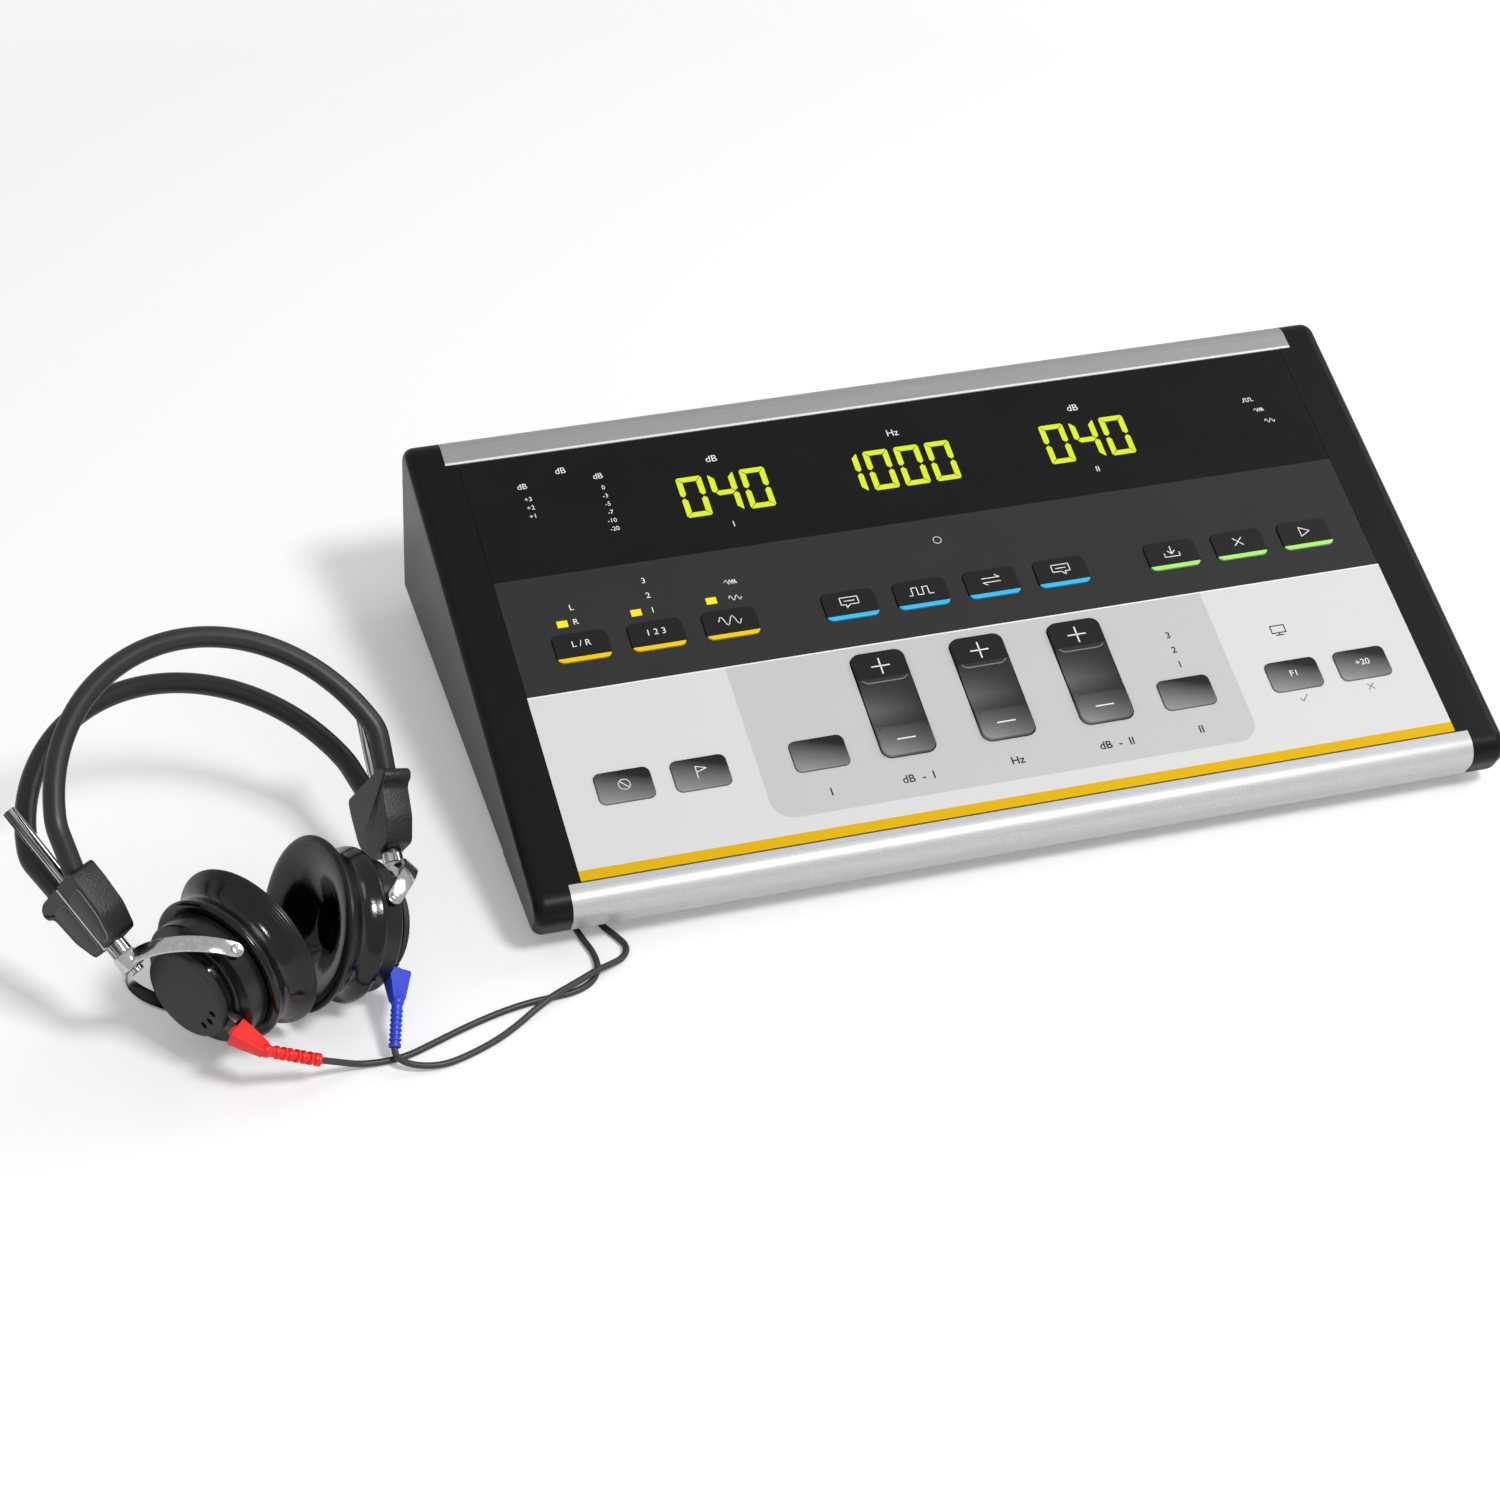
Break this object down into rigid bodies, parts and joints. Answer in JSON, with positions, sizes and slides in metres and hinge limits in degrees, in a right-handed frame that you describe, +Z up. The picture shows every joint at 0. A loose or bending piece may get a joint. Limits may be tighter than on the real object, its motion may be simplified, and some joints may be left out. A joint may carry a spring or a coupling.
{
  "type": "desk audiometer with headset",
  "caption": "Sloping desk audiometer with keys, rockers and digit displays; its headset lies beside it on thin cords that run under the case to the rear jacks.",
  "frame": {"origin": "on the table, under the middle of console and headset together (cords, coils, boots and plugs not counted)", "axes": "+Z up, +Y from the operator towards the back of the console, +X to the operator's right"},
  "size_m": [0.5941, 0.3343, 0.1133],
  "materials": {
    "band_front": "black sleeve over a steel core",
    "band_rear": "black sleeve over a steel core",
    "base_pan": "powder coat",
    "boot_blue": "moulded",
    "boot_red": "moulded",
    "case_screws": "zinc plated",
    "clamp_left": "moulded block with a lighter inlay",
    "clamp_right": "moulded block with a lighter inlay",
    "coil_blue": "smooth dark grey jacket",
    "coil_red": "smooth dark grey jacket",
    "cord_blue": "smooth dark grey jacket",
    "cord_red": "smooth dark grey jacket",
    "cushion_left": "smooth and slightly glossy",
    "cushion_right": "smooth and slightly glossy",
    "display_modules": "dark lens",
    "dome_switches": "matt",
    "earphone_left": "satin black moulding",
    "earphone_right": "satin black moulding",
    "front_rail": "satin silver paint",
    "key_board": "green solder mask",
    "key_cancel": "satin light grey to white",
    "key_ear": "satin light grey to white",
    "key_f1": "satin light grey to white",
    "key_invert": "satin light grey to white",
    "key_mark": "satin light grey to white",
    "key_masking": "satin light grey to white",
    "key_mode": "satin light grey to white",
    "key_no_response": "satin light grey to white",
    "key_plus_20": "satin light grey to white",
    "key_pulse": "satin light grey to white",
    "key_save": "satin light grey to white",
    "key_stim_type": "satin light grey to white",
    "key_stimulus": "satin light grey to white",
    "key_talk_back": "satin light grey to white",
    "key_talk_over": "satin light grey to white",
    "key_test": "satin light grey to white",
    "left_cheek": "fine-textured black moulding",
    "main_board": "green solder mask",
    "overlay_film": "printed satin film in light grey, dark grey and black",
    "plug_blue": "moulded body on a metal shaft",
    "plug_red": "moulded body on a metal shaft",
    "power_inlet": "moulded",
    "power_rocker": "moulded",
    "power_supply": "folded sheet",
    "rear_jacks": "moulded, with nut",
    "rear_panel": "powder coat",
    "rear_rail": "satin silver paint",
    "ribbon_cable": "flat cable",
    "right_cheek": "fine-textured black moulding",
    "rocker_frequency": "satin light grey to white",
    "rocker_intensity_1": "satin light grey to white",
    "rocker_intensity_2": "satin light grey to white",
    "rocker_pins": "ground",
    "rod_left": "polished",
    "rod_right": "polished",
    "rubber_feet": "matt",
    "status_leds": "diffused lens",
    "top_plate": "plain sheet",
    "yoke_left": "satin strip",
    "yoke_right": "satin strip"
  },
  "bodies": {
    "console": {"band_front": "band_front", "band_rear": "band_rear", "base_pan": "base_pan", "case_screws": "case_screws", "clamp_left": "clamp_left", "clamp_right": "clamp_right", "coil_blue": "coil_blue", "coil_red": "coil_red", "cord_blue": "cord_blue", "cord_red": "cord_red", "display_modules": "display_modules", "dome_switches": "dome_switches", "front_rail": "front_rail", "key_board": "key_board", "left_cheek": "left_cheek", "main_board": "main_board", "overlay_film": "overlay_film", "plug_blue": "plug_blue", "plug_red": "plug_red", "power_inlet": "power_inlet", "power_supply": "power_supply", "rear_jacks": "rear_jacks", "rear_panel": "rear_panel", "rear_rail": "rear_rail", "ribbon_cable": "ribbon_cable", "right_cheek": "right_cheek", "rocker_pins": "rocker_pins", "rubber_feet": "rubber_feet", "status_leds": "status_leds", "top_plate": "top_plate"},
    "key_ear_body": {"key_ear": "key_ear"},
    "key_mode_body": {"key_mode": "key_mode"},
    "key_stim_type_body": {"key_stim_type": "key_stim_type"},
    "key_talk_over_body": {"key_talk_over": "key_talk_over"},
    "key_pulse_body": {"key_pulse": "key_pulse"},
    "key_invert_body": {"key_invert": "key_invert"},
    "key_talk_back_body": {"key_talk_back": "key_talk_back"},
    "key_save_body": {"key_save": "key_save"},
    "key_cancel_body": {"key_cancel": "key_cancel"},
    "key_test_body": {"key_test": "key_test"},
    "key_no_response_body": {"key_no_response": "key_no_response"},
    "key_mark_body": {"key_mark": "key_mark"},
    "key_stimulus_body": {"key_stimulus": "key_stimulus"},
    "key_masking_body": {"key_masking": "key_masking"},
    "key_f1_body": {"key_f1": "key_f1"},
    "key_plus_20_body": {"key_plus_20": "key_plus_20"},
    "rocker_intensity_1_body": {"rocker_intensity_1": "rocker_intensity_1"},
    "rocker_frequency_body": {"rocker_frequency": "rocker_frequency"},
    "rocker_intensity_2_body": {"rocker_intensity_2": "rocker_intensity_2"},
    "power_rocker_body": {"power_rocker": "power_rocker"},
    "rod_left_body": {"rod_left": "rod_left"},
    "yoke_left_body": {"yoke_left": "yoke_left"},
    "ear_left": {"earphone_left": "earphone_left", "cushion_left": "cushion_left", "boot_red": "boot_red"},
    "rod_right_body": {"rod_right": "rod_right"},
    "yoke_right_body": {"yoke_right": "yoke_right"},
    "ear_right": {"earphone_right": "earphone_right", "cushion_right": "cushion_right", "boot_blue": "boot_blue"}
  },
  "joints": [
    {"name": "key_ear_press", "type": "slide", "parent": "console", "child": "key_ear_body", "axis": [0, -0.2588, 0.9659], "range_m": [-0.0006, 0], "stiffness_N_per_m": 300, "springref_m": 0.0002},
    {"name": "key_mode_press", "type": "slide", "parent": "console", "child": "key_mode_body", "axis": [0, -0.2588, 0.9659], "range_m": [-0.0006, 0], "stiffness_N_per_m": 300, "springref_m": 0.0002},
    {"name": "key_stim_type_press", "type": "slide", "parent": "console", "child": "key_stim_type_body", "axis": [0, -0.2588, 0.9659], "range_m": [-0.0006, 0], "stiffness_N_per_m": 300, "springref_m": 0.0002},
    {"name": "key_talk_over_press", "type": "slide", "parent": "console", "child": "key_talk_over_body", "axis": [0, -0.2588, 0.9659], "range_m": [-0.0006, 0], "stiffness_N_per_m": 300, "springref_m": 0.0002},
    {"name": "key_pulse_press", "type": "slide", "parent": "console", "child": "key_pulse_body", "axis": [0, -0.2588, 0.9659], "range_m": [-0.0006, 0], "stiffness_N_per_m": 300, "springref_m": 0.0002},
    {"name": "key_invert_press", "type": "slide", "parent": "console", "child": "key_invert_body", "axis": [0, -0.2588, 0.9659], "range_m": [-0.0006, 0], "stiffness_N_per_m": 300, "springref_m": 0.0002},
    {"name": "key_talk_back_press", "type": "slide", "parent": "console", "child": "key_talk_back_body", "axis": [0, -0.2588, 0.9659], "range_m": [-0.0006, 0], "stiffness_N_per_m": 300, "springref_m": 0.0002},
    {"name": "key_save_press", "type": "slide", "parent": "console", "child": "key_save_body", "axis": [0, -0.2588, 0.9659], "range_m": [-0.0006, 0], "stiffness_N_per_m": 300, "springref_m": 0.0002},
    {"name": "key_cancel_press", "type": "slide", "parent": "console", "child": "key_cancel_body", "axis": [0, -0.2588, 0.9659], "range_m": [-0.0006, 0], "stiffness_N_per_m": 300, "springref_m": 0.0002},
    {"name": "key_test_press", "type": "slide", "parent": "console", "child": "key_test_body", "axis": [0, -0.2588, 0.9659], "range_m": [-0.0006, 0], "stiffness_N_per_m": 300, "springref_m": 0.0002},
    {"name": "key_no_response_press", "type": "slide", "parent": "console", "child": "key_no_response_body", "axis": [0, -0.2588, 0.9659], "range_m": [-0.0006, 0], "stiffness_N_per_m": 300, "springref_m": 0.0002},
    {"name": "key_mark_press", "type": "slide", "parent": "console", "child": "key_mark_body", "axis": [0, -0.2588, 0.9659], "range_m": [-0.0006, 0], "stiffness_N_per_m": 300, "springref_m": 0.0002},
    {"name": "key_stimulus_press", "type": "slide", "parent": "console", "child": "key_stimulus_body", "axis": [0, -0.2588, 0.9659], "range_m": [-0.0006, 0], "stiffness_N_per_m": 300, "springref_m": 0.0002},
    {"name": "key_masking_press", "type": "slide", "parent": "console", "child": "key_masking_body", "axis": [0, -0.2588, 0.9659], "range_m": [-0.0006, 0], "stiffness_N_per_m": 300, "springref_m": 0.0002},
    {"name": "key_f1_press", "type": "slide", "parent": "console", "child": "key_f1_body", "axis": [0, -0.2588, 0.9659], "range_m": [-0.0006, 0], "stiffness_N_per_m": 300, "springref_m": 0.0002},
    {"name": "key_plus_20_press", "type": "slide", "parent": "console", "child": "key_plus_20_body", "axis": [0, -0.2588, 0.9659], "range_m": [-0.0006, 0], "stiffness_N_per_m": 300, "springref_m": 0.0002},
    {"name": "rocker_intensity_1_tilt", "type": "hinge", "parent": "console", "child": "rocker_intensity_1_body", "pos_m": [0.05355, -0.03131, 0.0397], "axis": [1, 0, 0], "range_deg": [-3, 3], "stiffness_Nm_per_rad": 0.2},
    {"name": "rocker_frequency_tilt", "type": "hinge", "parent": "console", "child": "rocker_frequency_body", "pos_m": [0.09555, -0.03131, 0.0397], "axis": [1, 0, 0], "range_deg": [-3, 3], "stiffness_Nm_per_rad": 0.2},
    {"name": "rocker_intensity_2_tilt", "type": "hinge", "parent": "console", "child": "rocker_intensity_2_body", "pos_m": [0.13755, -0.03131, 0.0397], "axis": [1, 0, 0], "range_deg": [-3, 3], "stiffness_Nm_per_rad": 0.2},
    {"name": "power_switch", "type": "hinge", "parent": "console", "child": "power_rocker_body", "pos_m": [0.23705, 0.12655, 0.037], "axis": [1, 0, 0], "range_deg": [-8, 8]},
    {"name": "headband_slide_left", "type": "slide", "parent": "console", "child": "rod_left_body", "axis": [0.4714, -0.7017, -0.5342], "range_m": [0, 0.02], "deforming": ["cord_red"]},
    {"name": "yoke_swivel_left", "type": "hinge", "parent": "rod_left_body", "child": "yoke_left_body", "pos_m": [-0.2647, -0.10165, 0.04944], "axis": [-0.4714, 0.7017, 0.5342], "range_deg": [-12, 12], "deforming": ["cord_red"]},
    {"name": "earphone_tilt_left", "type": "hinge", "parent": "yoke_left_body", "child": "ear_left", "pos_m": [-0.23507, -0.10852, 0.03387], "axis": [-0.3488, 0.408, -0.8437], "range_deg": [-3, 18], "deforming": ["cord_red"]},
    {"name": "headband_slide_right", "type": "slide", "parent": "console", "child": "rod_right_body", "axis": [-0.0078, -0.8953, -0.4454], "range_m": [0, 0.02], "deforming": ["cord_blue"]},
    {"name": "yoke_swivel_right", "type": "hinge", "parent": "rod_right_body", "child": "yoke_right_body", "pos_m": [-0.15486, -0.05727, 0.02908], "axis": [0.0078, 0.8953, 0.4454], "range_deg": [-12, 12], "deforming": ["cord_blue"]},
    {"name": "earphone_tilt_right", "type": "hinge", "parent": "yoke_right_body", "child": "ear_right", "pos_m": [-0.1739, -0.08534, 0.02498], "axis": [0.4245, -0.4063, 0.8092], "range_deg": [-3, 18], "deforming": ["cord_blue"]}
  ]
}
